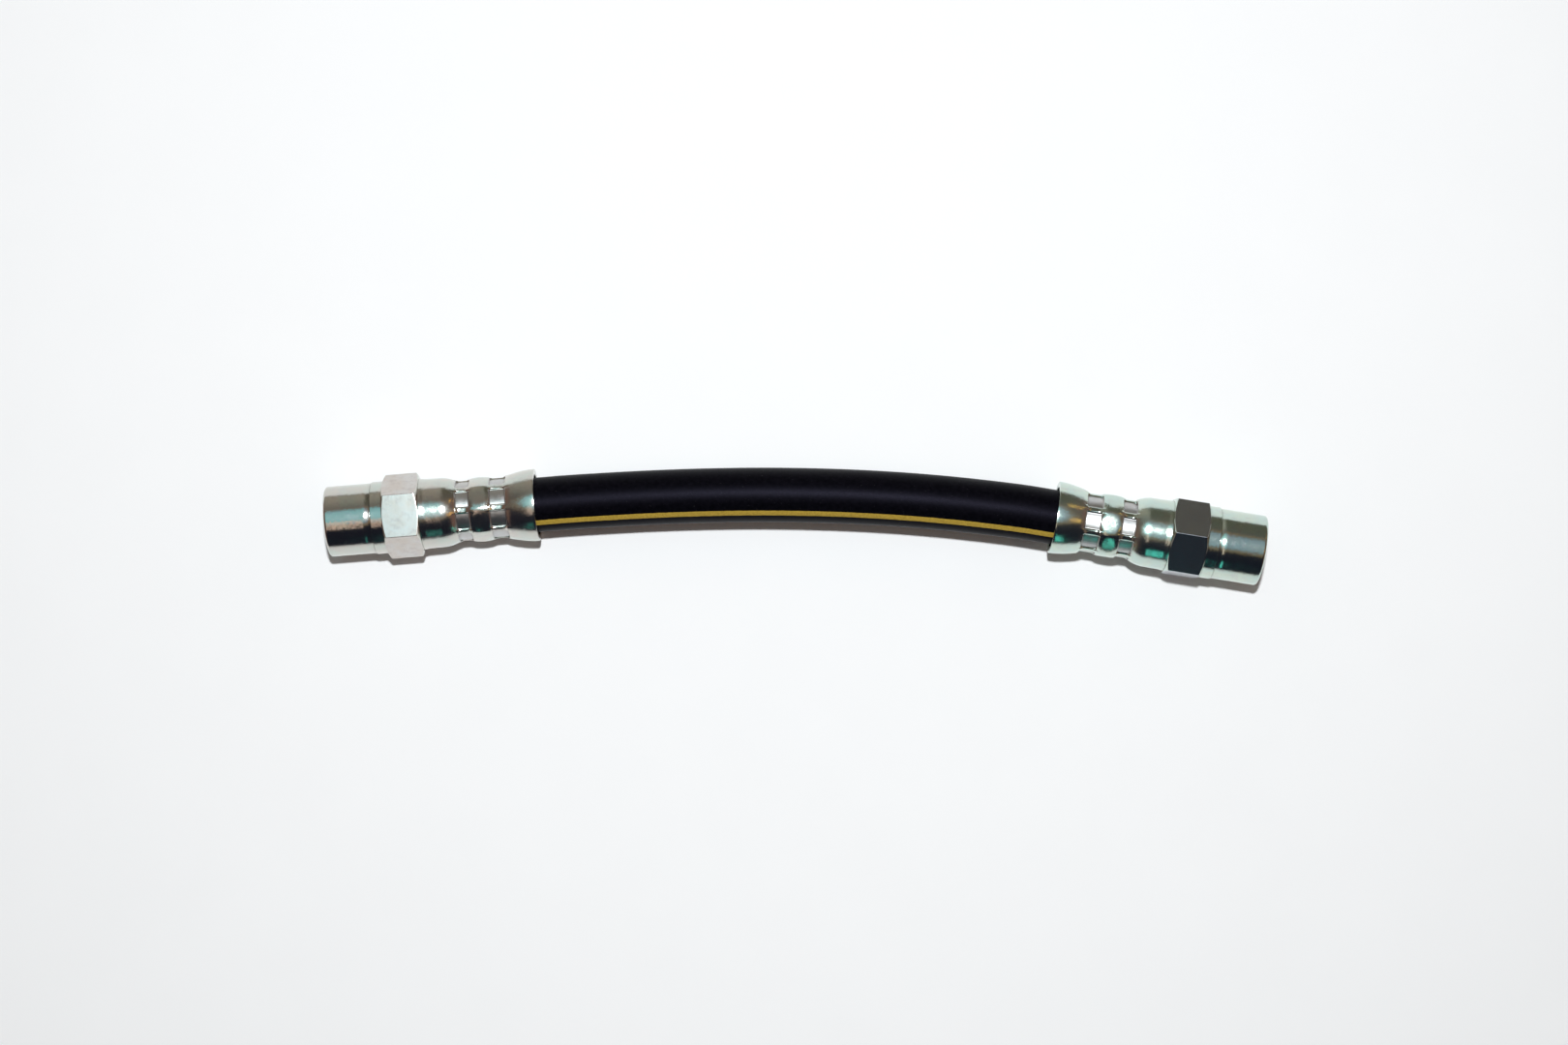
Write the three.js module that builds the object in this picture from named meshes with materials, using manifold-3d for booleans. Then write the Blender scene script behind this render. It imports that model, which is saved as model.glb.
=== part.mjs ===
// Short hydraulic brake hose: a rubber hose with two textile braids, and at each end a zinc-plated
// steel fitting with a female thread for the brake pipe's nut. Each fitting is turned from hexagon
// bar in one piece, and its thin shell is crimped onto the hose by eight jaws in two rows.
// Millimetres, +Z up. It lies on a surface at z = 0 as it comes to rest, +X along the hose.
import * as THREE from "three";
import { mergeVertices } from "three/addons/utils/BufferGeometryUtils.js";
import Module from "manifold-3d";

const wasm = await Module();
wasm.setup();

// Hose, from the bore outwards, as it is made and before it is crimped
const HOSE_BORE = 3.2;
const LINER_WALL = 1.0;
const INNER_BRAID_WALL = 0.4;
const CUSHION_WALL = 0.5;
const OUTER_BRAID_WALL = 0.4;
const COVER_WALL = 1.35;
const PLY_CLEARANCE = 0.06;
const HOSE_SIDES = 12;

// Port that takes the brake pipe: M10 x 1 female thread above a conical seat
const THREAD_DIAMETER = 10.0;
const THREAD_PITCH = 1.0;
const PORT_DEPTH = 12.0;
const PORT_CHAMFER = 0.8;
const SEAT_ANGLE = 118;
const DRILLING = 3.0;

// Outside of the fitting, from the port end to the shell's mouth
const NOSE_DIAMETER = 13.5;
const NOSE_LENGTH = 8.9;
const NOSE_CHAMFER = 0.5;
const COLLAR_DIAMETER = 13.9;
const COLLAR_LENGTH = 2.2;
const COLLAR_CHAMFER = 0.2;
const HEX_FLATS = 14.0;
const HEX_LENGTH = 7.0;
const HEX_CHAMFER_ANGLE = 25;

// Shell, from the hexagon to its mouth
const SHELL_WALL = 1.1;
const ROOT_FILLET = 0.12;
const BULGE_LENGTH = 6.85;
const FALL_LENGTH = 2.95;
const FIRST_ROW_LENGTH = 2.75;
const BAND_LENGTH = 3.8;
const SECOND_ROW_LENGTH = 3.2;
const FLARE_LENGTH = 5.5;
const FLOOR_SET = 0.5;

// Room between the hose and the shell where nothing squeezes it
const BULGE_GAP = 0.35;
const MOUTH_GAP = 0.6;

// Crimp: how far the shell's bore is driven into the hose at each place
const CRIMP_CLEARANCE = 0.05;
const JAWS = 8;
const JAW_DENT_ANGLE = 32;
const JAW_RIDGE_ANGLE = 7;
const RIDGE_HEIGHT = 0.25;
const DENT_STEP = 0.22;
const FIRST_ROW_SQUEEZE = 0.87;
const SECOND_ROW_SQUEEZE = 0.82;
const ROW_EDGE_SQUEEZE = 0.4;
const BAND_SQUEEZE = 0.15;
const BAND_SHOULDER = 1.1;
const FLARE_START_SQUEEZE = 0.25;
const PILLOW_DEPTH = 0.12;
const FLOOR_DEPTH = 0.08;

// Steel insert tube that holds the hose open under the crimp
const INSERT_DIAMETER = 3.8;
const INSERT_BORE = 2.4;
const INSERT_SEAT_DEPTH = 2.0;
const INSERT_TIP_SET = 3.0;
const INSERT_TIP_CHAMFER = 0.4;
const INSERT_RIBS = 6;
const RIB_LEAD = 1.0;
const RIB_DEPTH = 0.12;
const FIT_CLEARANCE = 0.1;
const HOSE_END_GAP = 0.4;

// How each fitting lies about its own axis, in degrees from the top towards its own +Y side.
// A hexagon turned by 0 has a corner on top, and a crimp turned by 0 has a dent on top.
const LEFT_HEX_TURN = 30;
const LEFT_CRIMP_TURN = -22;
const RIGHT_HEX_TURN = -5;
const RIGHT_CRIMP_TURN = -4;

// Centre line of the hose between the two shell mouths. It runs straight out of each mouth.
const ROUTE = [
  [-49.7, 4.2, 7.0],
  [-43.7, 4.69, 7.0],
  [-35.5, 5.2, 7.015],
  [-28.5, 5.57, 7.05],
  [-21.4, 5.85, 7.1],
  [-14.3, 6.03, 7.17],
  [-7.2, 6.11, 7.25],
  [-0.1, 6.06, 7.335],
  [7.0, 5.89, 7.42],
  [14.1, 5.59, 7.505],
  [21.2, 5.15, 7.59],
  [28.3, 4.56, 7.665],
  [35.4, 3.82, 7.74],
  [43.4, 2.83, 7.826],
  [49.5, 1.84, 7.869],
];

const turn = THREE.MathUtils.degToRad;
const hoseRadius =
  HOSE_BORE / 2 + LINER_WALL + INNER_BRAID_WALL + CUSHION_WALL + OUTER_BRAID_WALL + COVER_WALL;
const insertRadius = INSERT_DIAMETER / 2;

// Stations along a fitting's axis, from the port end
const collarStart = NOSE_LENGTH;
const hexStart = collarStart + COLLAR_LENGTH;
const shellStart = hexStart + HEX_LENGTH;
const firstRow = shellStart + BULGE_LENGTH;
const band = firstRow + FIRST_ROW_LENGTH;
const secondRow = band + BAND_LENGTH;
const flare = secondRow + SECOND_ROW_LENGTH;
const mouth = flare + FLARE_LENGTH;
const shellFloor = shellStart + FLOOR_SET;
const insertStart = shellStart - INSERT_SEAT_DEPTH;
const insertEnd = mouth - INSERT_TIP_SET;
const hoseEnd = shellFloor + HOSE_END_GAP;

// The shell's bore, section by section from its floor to its mouth. Each section is on the smooth
// wall, in a row of dents, or on the band that pillows up between the rows, and says whether the
// hose's own wall bends there too.
function shellSections() {
  const bulgeBore = hoseRadius + BULGE_GAP;
  const edgeBore = hoseRadius - ROW_EDGE_SQUEEZE;
  const bandBore = hoseRadius - BAND_SQUEEZE;
  const flareBore = hoseRadius - FLARE_START_SQUEEZE;
  const mouthBore = hoseRadius + MOUTH_GAP;
  const sections = [{ x: shellFloor, bore: bulgeBore, zone: "wall", bendsHose: true }];
  const fallSteps = 3;
  for (let i = 0; i <= fallSteps; i++) {
    const share = i / fallSteps;
    const drop = 1 - Math.cos((share * Math.PI) / 2);
    sections.push({
      x: firstRow - FALL_LENGTH * (1 - share),
      bore: bulgeBore - (bulgeBore - edgeBore) * drop,
      zone: "wall",
      bendsHose: i === 0 || i === fallSteps,
    });
  }
  const addRow = (start, end, squeeze) => {
    const bore = hoseRadius - squeeze;
    sections.push({ x: start + DENT_STEP, bore, zone: "row", bendsHose: true });
    sections.push({ x: end - DENT_STEP, bore, zone: "row", bendsHose: true });
  };
  addRow(firstRow, band, FIRST_ROW_SQUEEZE);
  sections.push({ x: band, bore: edgeBore, zone: "wall", bendsHose: false });
  sections.push({ x: band + BAND_SHOULDER, bore: bandBore, zone: "band", bendsHose: true });
  sections.push({ x: secondRow - BAND_SHOULDER, bore: bandBore, zone: "band", bendsHose: true });
  sections.push({ x: secondRow, bore: edgeBore, zone: "wall", bendsHose: false });
  addRow(secondRow, flare, SECOND_ROW_SQUEEZE);
  const flareSteps = 4;
  for (let i = 0; i <= flareSteps; i++) {
    const share = i / flareSteps;
    sections.push({
      x: flare + FLARE_LENGTH * share,
      bore: flareBore + (mouthBore - flareBore) * Math.sin((share * Math.PI) / 2),
      zone: "wall",
      bendsHose: i % 2 === 0,
    });
  }
  return sections;
}

// Angles round the fitting, with the place of each in its jaw: 1 on the ridge, 0 at a dent's edge
// and -1 in the middle of a dent.
function jawAngles(crimpTurn) {
  const halfDent = JAW_DENT_ANGLE / 2;
  const halfPitch = 180 / JAWS;
  const halfRidge = JAW_RIDGE_ANGLE / 2;
  const places = [
    { offset: -halfDent, place: 0 },
    { offset: 0, place: -1 },
    { offset: halfDent, place: 0 },
    { offset: halfPitch - halfRidge, place: 1 },
    { offset: halfPitch + halfRidge, place: 1 },
  ];
  const angles = [];
  for (let jaw = 0; jaw < JAWS; jaw++) {
    for (const { offset, place } of places) {
      angles.push({ angle: turn(crimpTurn + (jaw * 360) / JAWS + offset), place });
    }
  }
  return angles;
}

// A closed skin over a run of rings that all have as many points. The rings go round from the top
// towards +Y while they advance along +X. A tube's wall closes on its own first ring.
function skin(rings, closesOnItself) {
  const count = rings[0].length;
  const positions = rings.flat().flatMap((p) => [p.x, p.y, p.z]);
  const faces = [];
  const spans = closesOnItself ? rings.length : rings.length - 1;
  for (let i = 0; i < spans; i++) {
    const here = i * count;
    const there = ((i + 1) % rings.length) * count;
    for (let j = 0; j < count; j++) {
      const next = (j + 1) % count;
      faces.push(here + j, there + j, here + next);
      faces.push(there + j, there + next, here + next);
    }
  }
  const geometry = new THREE.BufferGeometry();
  geometry.setAttribute("position", new THREE.Float32BufferAttribute(positions, 3));
  geometry.setIndex(faces);
  return geometry;
}

// A ring about the X axis, with one radius for each angle
function ringAt(x, angles, radiusOf) {
  return angles.map(({ angle, place }) => {
    const radius = radiusOf(place);
    return new THREE.Vector3(x, radius * Math.sin(angle), radius * Math.cos(angle));
  });
}

// A body of revolution about the X axis from a profile of [x, radius] points
function turned(profile, sides) {
  const points = profile.map(([x, radius]) => new THREE.Vector2(radius, x));
  const geometry = new THREE.LatheGeometry(points, sides);
  geometry.rotateZ(-Math.PI / 2);
  return geometry;
}

// Makes a closed mesh into a solid that can be joined and cut
function solidOf(geometry) {
  const bare = geometry.clone();
  bare.deleteAttribute("normal");
  bare.deleteAttribute("uv");
  const merged = mergeVertices(bare, 1e-4);
  const index = merged.index.array;
  const faces = [];
  for (let i = 0; i < index.length; i += 3) {
    const [a, b, c] = [index[i], index[i + 1], index[i + 2]];
    if (a !== b && b !== c && c !== a) faces.push(a, b, c);
  }
  return new wasm.Manifold(
    new wasm.Mesh({
      numProp: 3,
      vertProperties: merged.attributes.position.array,
      triVerts: new Uint32Array(faces),
    }),
  );
}

function geometryOf(solid) {
  const mesh = solid.getMesh();
  const geometry = new THREE.BufferGeometry();
  geometry.setAttribute("position", new THREE.BufferAttribute(mesh.vertProperties, 3));
  geometry.setIndex(new THREE.BufferAttribute(mesh.triVerts, 1));
  geometry.computeVertexNormals();
  return geometry;
}

// Outside of the fitting without its hexagon: nose, collar and crimped shell
function turnedOutside(crimpTurn) {
  const angles = jawAngles(crimpTurn);
  const noseRadius = NOSE_DIAMETER / 2;
  const collarRadius = COLLAR_DIAMETER / 2;
  const rings = [ringAt(0, angles, () => 0)];
  const plain = [
    [0, noseRadius - NOSE_CHAMFER],
    [NOSE_CHAMFER, noseRadius],
    [collarStart, noseRadius],
    [collarStart, collarRadius - COLLAR_CHAMFER],
    [collarStart + COLLAR_CHAMFER, collarRadius],
    [shellStart - HEX_LENGTH / 2, collarRadius],
    [shellStart - HEX_LENGTH / 2, hoseRadius + BULGE_GAP + SHELL_WALL + ROOT_FILLET],
    [shellStart, hoseRadius + BULGE_GAP + SHELL_WALL + ROOT_FILLET],
  ];
  for (const [x, radius] of plain) rings.push(ringAt(x, angles, () => radius));
  for (const { x, bore, zone } of shellSections().slice(1)) {
    const outside = bore + SHELL_WALL;
    if (zone === "row") {
      const heights = { "-1": -FLOOR_DEPTH, 0: 0, 1: RIDGE_HEIGHT };
      rings.push(ringAt(x, angles, (place) => outside + heights[place]));
    } else if (zone === "band") {
      rings.push(ringAt(x, angles, (place) => outside + (place < 0 ? -PILLOW_DEPTH : 0)));
    } else {
      rings.push(ringAt(x, angles, () => outside));
    }
  }
  rings.push(ringAt(mouth, angles, () => 0));
  return skin(rings, false);
}

// The bar's hexagon, with its corners chamfered at both ends
function hexagon(hexTurn) {
  const cornerRadius = HEX_FLATS / 2 / Math.cos(turn(30));
  const prism = new THREE.CylinderGeometry(cornerRadius, cornerRadius, HEX_LENGTH, 6);
  prism.rotateZ(-Math.PI / 2);
  prism.rotateX(-turn(hexTurn));
  prism.translate(hexStart + HEX_LENGTH / 2, 0, 0);
  const flatRadius = HEX_FLATS / 2;
  const chamfer = (cornerRadius - flatRadius) * Math.tan(turn(HEX_CHAMFER_ANGLE));
  const ends = [
    [hexStart, 0],
    [hexStart, flatRadius],
    [hexStart + chamfer, cornerRadius],
    [shellStart - chamfer, cornerRadius],
    [shellStart, flatRadius],
    [shellStart, 0],
  ];
  return solidOf(prism).intersect(solidOf(turned(ends, 36)));
}

// Everything drilled and bored out of the fitting: port, seat, drilling, insert socket and shell
function drilled() {
  const sides = 24;
  const clear = 1 / Math.cos(Math.PI / sides);
  const minorRadius = (THREAD_DIAMETER - 1.0825 * THREAD_PITCH) / 2;
  const drillingRadius = DRILLING / 2;
  const socketRadius = insertRadius + FIT_CLEARANCE;
  const seatLength = (minorRadius - drillingRadius) / Math.tan(turn(SEAT_ANGLE / 2));
  const past = 1;
  const profile = [
    [-past, 0],
    [-past, minorRadius + PORT_CHAMFER + past],
    [PORT_CHAMFER, minorRadius],
    [PORT_DEPTH, minorRadius],
    [PORT_DEPTH + seatLength, drillingRadius],
    [insertStart - FIT_CLEARANCE, drillingRadius],
    [insertStart - FIT_CLEARANCE, socketRadius],
    [shellFloor, socketRadius],
  ];
  for (const { x, bore } of shellSections()) profile.push([x, bore]);
  profile.push([mouth + past, hoseRadius + MOUTH_GAP]);
  profile.push([mouth + past, 0]);
  return solidOf(turned(profile.map(([x, radius]) => [x, radius * clear]), sides));
}

function fittingGeometry(hexTurn, crimpTurn) {
  const outside = solidOf(turnedOutside(crimpTurn)).add(hexagon(hexTurn));
  return geometryOf(outside.subtract(drilled()));
}

// Insert tube with sawtooth ribs that the liner is pressed over
function insertGeometry() {
  const boreRadius = INSERT_BORE / 2;
  const ribStart = hoseEnd + RIB_LEAD;
  const ribPitch = (insertEnd - INSERT_TIP_CHAMFER - ribStart) / INSERT_RIBS;
  const profile = [
    [insertStart, boreRadius],
    [insertStart, insertRadius],
  ];
  for (let rib = 0; rib < INSERT_RIBS; rib++) {
    profile.push([ribStart + rib * ribPitch, insertRadius]);
    profile.push([ribStart + rib * ribPitch, insertRadius - RIB_DEPTH]);
  }
  profile.push([insertEnd - INSERT_TIP_CHAMFER, insertRadius]);
  profile.push([insertEnd, insertRadius - INSERT_TIP_CHAMFER]);
  profile.push([insertEnd, boreRadius]);
  profile.push([insertStart, boreRadius]);
  return geometryOf(solidOf(turned(profile, 16)));
}

// The hose's centre line from its one hidden end to the other
const route = ROUTE.map((p) => new THREE.Vector3(...p));
const lastPoint = route.length - 1;
const leftAxis = new THREE.Vector3().subVectors(route[1], route[0]).normalize();
const rightAxis = new THREE.Vector3().subVectors(route[lastPoint - 1], route[lastPoint]).normalize();
const insertion = mouth - hoseEnd;
const centreLine = new THREE.CatmullRomCurve3(
  [
    route[0].clone().addScaledVector(leftAxis, -insertion),
    ...route,
    route[lastPoint].clone().addScaledVector(rightAxis, -insertion),
  ],
  false,
  "centripetal",
);
centreLine.arcLengthDivisions = 600;
const hoseLength = centreLine.getLength();

// Stations along the hose with its outer and inner radius at each. Under the shells it is squeezed
// between the shell's bore and the insert, and between the mouths it keeps its own size.
function hoseStations() {
  const freeSpans = 6;
  const boreFlat = 1 / Math.cos(Math.PI / HOSE_SIDES);
  const overInsert = (insertRadius + CRIMP_CLEARANCE) * boreFlat;
  const free = (HOSE_BORE / 2) * boreFlat;
  const inShell = [{ at: 0, outer: hoseRadius, inner: overInsert }];
  let pastInsert = false;
  for (const { x, bore } of shellSections().slice(1).filter((section) => section.bendsHose)) {
    inShell.push({
      at: x - hoseEnd,
      outer: Math.min(hoseRadius, bore - CRIMP_CLEARANCE),
      inner: pastInsert ? free : overInsert,
    });
    pastInsert = x > insertEnd;
  }
  const stations = [...inShell];
  const freeStretch = hoseLength - 2 * insertion;
  for (let i = 1; i < freeSpans; i++) {
    const at = insertion + (freeStretch * i) / freeSpans;
    stations.push({ at, outer: hoseRadius, inner: free });
  }
  for (const station of inShell.reverse()) {
    stations.push({ ...station, at: hoseLength - station.at });
  }
  return stations;
}

// A ring of the hose at one station, standing square to the centre line
function hoseRing(at, radius) {
  const share = at / hoseLength;
  const centre = centreLine.getPointAt(share);
  const along = centreLine.getTangentAt(share);
  const side = new THREE.Vector3(0, 0, 1).cross(along).normalize();
  const up = new THREE.Vector3().crossVectors(along, side);
  const ring = [];
  for (let i = 0; i < HOSE_SIDES; i++) {
    const angle = (i * 2 * Math.PI) / HOSE_SIDES;
    ring.push(
      centre
        .clone()
        .addScaledVector(side, radius * Math.sin(angle))
        .addScaledVector(up, radius * Math.cos(angle)),
    );
  }
  return ring;
}

// One ply of the hose, between two shares of the whole wall's thickness
function plyGeometry(innerShare, outerShare, innerGap, outerGap) {
  const outside = [];
  const inside = [];
  for (const { at, outer, inner } of hoseStations()) {
    outside.push(hoseRing(at, inner + (outer - inner) * outerShare - outerGap));
    inside.push(hoseRing(at, inner + (outer - inner) * innerShare + innerGap));
  }
  const geometry = skin([...outside, ...inside.reverse()], true);
  geometry.computeVertexNormals();
  return geometry;
}

const finishes = {
  zincPlatedSteel: { color: 0xb4b6a6, roughness: 0.28, metalness: 1.0 },
  steel: { color: 0xa3a5a8, roughness: 0.4, metalness: 1.0 },
  linerRubber: { color: 0x17161a, roughness: 0.6, metalness: 0.0 },
  braidYarn: { color: 0xcfc6a8, roughness: 0.85, metalness: 0.0 },
  cushionRubber: { color: 0x1b1a1c, roughness: 0.7, metalness: 0.0 },
  coverRubber: { color: 0x07070d, roughness: 0.45, metalness: 0.0 },
};

function piece(name, geometry, finish) {
  const mesh = new THREE.Mesh(geometry, new THREE.MeshStandardMaterial(finishes[finish]));
  mesh.name = name;
  return mesh;
}

// A fitting and its insert, placed so that the shell's mouth lies at a point of the route
function endAssembly(side, mouthPoint, towardsHose, hexTurn, crimpTurn) {
  const group = new THREE.Group();
  group.add(piece(side + "_fitting", fittingGeometry(hexTurn, crimpTurn), "zincPlatedSteel"));
  group.add(piece(side + "_insert", insertGeometry(), "steel"));
  const heading = Math.atan2(towardsHose.y, towardsHose.x);
  const pitch = Math.asin(towardsHose.z);
  group.rotation.set(0, -pitch, heading, "ZYX");
  group.position.copy(mouthPoint).addScaledVector(towardsHose, -mouth);
  return group;
}

const brakeHose = new THREE.Group();
brakeHose.add(endAssembly("left", route[0], leftAxis, LEFT_HEX_TURN, LEFT_CRIMP_TURN));
brakeHose.add(endAssembly("right", route[lastPoint], rightAxis, RIGHT_HEX_TURN, RIGHT_CRIMP_TURN));

const plies = [
  { name: "hose_liner", wall: LINER_WALL, finish: "linerRubber" },
  { name: "inner_braid", wall: INNER_BRAID_WALL, finish: "braidYarn" },
  { name: "cushion_layer", wall: CUSHION_WALL, finish: "cushionRubber" },
  { name: "outer_braid", wall: OUTER_BRAID_WALL, finish: "braidYarn" },
  { name: "hose_cover", wall: COVER_WALL, finish: "coverRubber" },
];
const wholeWall = hoseRadius - HOSE_BORE / 2;
let depth = 0;
for (const [i, { name, wall, finish }] of plies.entries()) {
  const innerGap = i === 0 ? 0 : PLY_CLEARANCE / 2;
  const outerGap = i === plies.length - 1 ? 0 : PLY_CLEARANCE / 2;
  const shares = [depth / wholeWall, (depth + wall) / wholeWall];
  brakeHose.add(piece(name, plyGeometry(...shares, innerGap, outerGap), finish));
  depth += wall;
}

export default brakeHose;
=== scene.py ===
import math

import bpy
import numpy as np
from mathutils import Matrix, Vector


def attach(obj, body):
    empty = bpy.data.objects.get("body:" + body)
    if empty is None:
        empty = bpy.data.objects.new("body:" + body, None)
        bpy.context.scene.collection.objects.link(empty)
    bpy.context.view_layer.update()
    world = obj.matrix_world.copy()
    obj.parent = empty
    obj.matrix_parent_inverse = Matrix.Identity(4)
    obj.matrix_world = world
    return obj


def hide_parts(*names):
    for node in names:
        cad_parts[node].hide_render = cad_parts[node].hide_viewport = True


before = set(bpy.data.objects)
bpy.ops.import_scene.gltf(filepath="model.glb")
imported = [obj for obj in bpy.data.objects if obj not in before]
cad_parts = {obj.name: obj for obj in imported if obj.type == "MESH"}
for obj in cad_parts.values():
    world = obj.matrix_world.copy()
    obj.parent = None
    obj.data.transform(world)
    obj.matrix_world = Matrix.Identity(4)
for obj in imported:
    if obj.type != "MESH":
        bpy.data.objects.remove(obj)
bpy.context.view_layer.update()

# Hose centre line
# The hose is cut from a long extruded length and stays slightly bowed, as it came off its drum.
# It runs straight out of each steel shell, and 21 mm of it are hidden in each one.
MM = 0.001
HOSE_ROUTE = [
    (-0.0497, 0.00420, 0.007000),
    (-0.0437, 0.00469, 0.007000),
    (-0.0355, 0.00520, 0.007015),
    (-0.0285, 0.00557, 0.007050),
    (-0.0214, 0.00585, 0.007100),
    (-0.0143, 0.00603, 0.007170),
    (-0.0072, 0.00611, 0.007250),
    (-0.0001, 0.00606, 0.007335),
    (0.0070, 0.00589, 0.007420),
    (0.0141, 0.00559, 0.007505),
    (0.0212, 0.00515, 0.007590),
    (0.0283, 0.00456, 0.007665),
    (0.0354, 0.00382, 0.007740),
    (0.0434, 0.00283, 0.007826),
    (0.0495, 0.00184, 0.007869),
]
HIDDEN_LENGTH = 21.2 * MM
SAMPLES_PER_SPAN = 40

left_axis = (Vector(HOSE_ROUTE[1]) - Vector(HOSE_ROUTE[0])).normalized()
right_axis = (Vector(HOSE_ROUTE[-2]) - Vector(HOSE_ROUTE[-1])).normalized()
knots = [Vector(HOSE_ROUTE[0]) - left_axis * HIDDEN_LENGTH]
knots += [Vector(point) for point in HOSE_ROUTE]
knots += [Vector(HOSE_ROUTE[-1]) - right_axis * HIDDEN_LENGTH]


def smooth_line(points, samples):
    """A centripetal spline through the points, as many small steps."""
    padded = [points[0] * 2 - points[1], *points, points[-1] * 2 - points[-2]]
    line = []
    for before, start, end, after in zip(padded, padded[1:], padded[2:], padded[3:]):
        first = math.sqrt((start - before).length)
        middle = math.sqrt((end - start).length)
        last = math.sqrt((after - end).length)
        leave = (start - before) / first - (end - before) / (first + middle) + (end - start) / middle
        arrive = (end - start) / middle - (after - start) / (middle + last) + (after - end) / last
        leave *= middle
        arrive *= middle
        for step in range(samples):
            t = step / samples
            line.append(
                start * (2 * t**3 - 3 * t**2 + 1)
                + leave * (t**3 - 2 * t**2 + t)
                + end * (3 * t**2 - 2 * t**3)
                + arrive * (t**3 - t**2)
            )
    line.append(points[-1].copy())
    return np.array(line)


hose_line = smooth_line(knots, SAMPLES_PER_SPAN)
line_steps = np.linalg.norm(np.diff(hose_line, axis=0), axis=1)
line_distance = np.concatenate([[0.0], np.cumsum(line_steps)])
hose_length = float(line_distance[-1])


def along_hose(distance):
    """The centre line's point and direction at a distance from the hose's left end."""
    step = 0.2 * MM
    here = np.array([np.interp(distance, line_distance, hose_line[:, k]) for k in range(3)])
    low = max(distance - step, 0.0)
    high = min(distance + step, hose_length)
    back = np.array([np.interp(low, line_distance, hose_line[:, k]) for k in range(3)])
    ahead = np.array([np.interp(high, line_distance, hose_line[:, k]) for k in range(3)])
    return Vector(here), Vector(ahead - back).normalized()


# Hose plies
# A brake hose is built up in layers: an extruded rubber liner, a braid of textile yarn, a thin
# rubber cushion, a second braid, and a weather-proof rubber cover. They are cured into one wall.
HOSE_RADIUS = 5.25 * MM
PLY_GAP = 0.03 * MM
PLY_SIDES = 32
PLY_CRISP_ANGLE = 40
HIDDEN_SPACING = 0.45 * MM
SHOWN_STATIONS = 72

# Where each ply starts and ends in the wall of an unsqueezed hose, in mm from its bore
WALL_DEPTHS = {
    "hose_liner": (0.0, 1.0),
    "inner_braid": (1.0, 1.4),
    "cushion_layer": (1.4, 1.9),
    "outer_braid": (1.9, 2.3),
    "hose_cover": (2.3, 3.65),
}
WHOLE_WALL = WALL_DEPTHS["hose_cover"][1]

# Each shell squeezes the hose: the distance from its mouth inwards, and the hose's radius there
SQUEEZED_SECTIONS = [
    (0.0, 5.25),
    (2.75, 5.25),
    (4.6, 5.06),
    (5.5, 4.92),
    (5.72, 4.40),
    (8.48, 4.40),
    (9.8, 5.02),
    (11.4, 5.02),
    (12.72, 4.35),
    (15.03, 4.35),
    (15.3, 4.75),
    (18.2, 5.25),
    (21.2, 5.25),
]

# The liner's bore in the same way. It widens where the insert tube stretches it
LINER_SECTIONS = [
    (0.0, 1.6),
    (2.6, 1.6),
    (3.6, 1.95),
    (21.2, 1.95),
]


def hose_radii(distance):
    """Inner and outer radius of the whole hose wall at a distance from the hose's left end."""
    depth = HIDDEN_LENGTH - min(distance, hose_length - distance)
    depth = max(depth, 0.0) / MM
    outer = np.interp(depth, *zip(*SQUEEZED_SECTIONS)) * MM
    inner = np.interp(depth, *zip(*LINER_SECTIONS)) * MM
    return inner, outer


def hose_stations():
    """Distances from the hose's left end to its rings of points, close together in the shells."""
    hidden = np.arange(0.0, HIDDEN_LENGTH, HIDDEN_SPACING)
    shown = np.linspace(HIDDEN_LENGTH, hose_length - HIDDEN_LENGTH, SHOWN_STATIONS)
    return np.concatenate([hidden, shown, (hose_length - hidden)[::-1]])


def mesh_piece(name, vertices, faces, uvs=None):
    """A mesh object from its vertices, its faces and, where given, one uv for each face corner."""
    mesh = bpy.data.meshes.new(name)
    mesh.from_pydata(vertices, [], faces)
    if uvs is not None:
        layer = mesh.uv_layers.new(name="surface_mm")
        layer.data.foreach_set("uv", np.asarray(uvs, np.float32).ravel())
    mesh.polygons.foreach_set("use_smooth", np.ones(len(mesh.polygons), bool))
    mesh.update()
    piece = bpy.data.objects.new(name, mesh)
    bpy.context.collection.objects.link(piece)
    return piece


def ring_faces(ring_starts, count):
    """Quads between each ring and the next, where each ring has as many points."""
    faces = []
    for here, there in zip(ring_starts, ring_starts[1:]):
        for j in range(count):
            after = (j + 1) % count
            faces.append((here + j, there + j, there + after, here + after))
    return faces


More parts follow.
